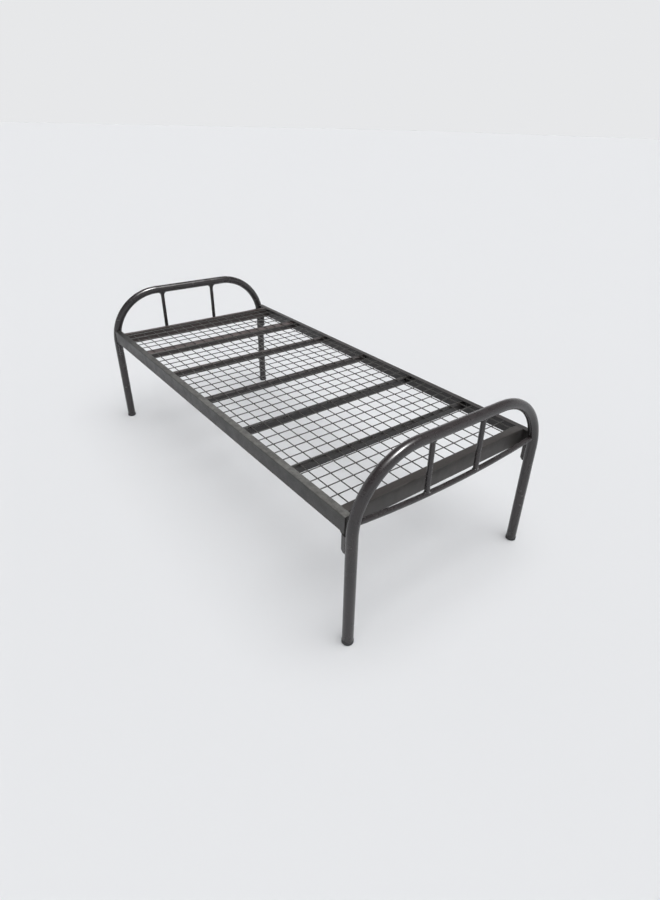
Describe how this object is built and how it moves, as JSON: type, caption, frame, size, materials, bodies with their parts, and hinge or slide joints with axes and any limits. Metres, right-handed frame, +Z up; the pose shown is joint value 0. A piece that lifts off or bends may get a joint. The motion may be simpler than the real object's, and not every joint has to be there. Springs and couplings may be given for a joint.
{
  "type": "metal bed frame",
  "caption": "Single bed frame in painted steel: two bowed tube ends with spindles and a low angle-section base with cross slats and welded square wire mesh.",
  "frame": {"origin": "centre of the footprint, on the floor", "axes": "+X towards the foot end, -Y the near side, +Z up"},
  "size_m": [2.0002, 0.9002, 0.694],
  "materials": {
    "end_frame_paint": "dark brown-black semi-gloss enamel, slightly orange-peeled",
    "base_paint": "dark brown-black satin enamel",
    "mesh_paint": "dark satin enamel on drawn wire",
    "cap_plastic": "black moulded plastic, matte"
  },
  "bodies": {
    "root": {"base_tongue_foot_far": "base_paint", "base_tongue_foot_near": "base_paint", "base_tongue_head_far": "base_paint", "base_tongue_head_near": "base_paint", "cross_slat_1": "base_paint", "cross_slat_2": "base_paint", "cross_slat_3": "base_paint", "cross_slat_4": "base_paint", "cross_slat_5": "base_paint", "foot_bow_tube": "end_frame_paint", "foot_lower_bar": "end_frame_paint", "foot_rail": "base_paint", "foot_spindle_far": "end_frame_paint", "foot_spindle_near": "end_frame_paint", "head_bow_tube": "end_frame_paint", "head_lower_bar": "end_frame_paint", "head_rail": "base_paint", "head_spindle_far": "end_frame_paint", "head_spindle_near": "end_frame_paint", "leg_cap_foot_far": "cap_plastic", "leg_cap_foot_near": "cap_plastic", "leg_cap_head_far": "cap_plastic", "leg_cap_head_near": "cap_plastic", "leg_socket_foot_far": "end_frame_paint", "leg_socket_foot_near": "end_frame_paint", "leg_socket_head_far": "end_frame_paint", "leg_socket_head_near": "end_frame_paint", "mesh_cross_wires": "mesh_paint", "mesh_long_wires": "mesh_paint", "side_rail_far": "base_paint", "side_rail_near": "base_paint"}
  },
  "joints": []
}
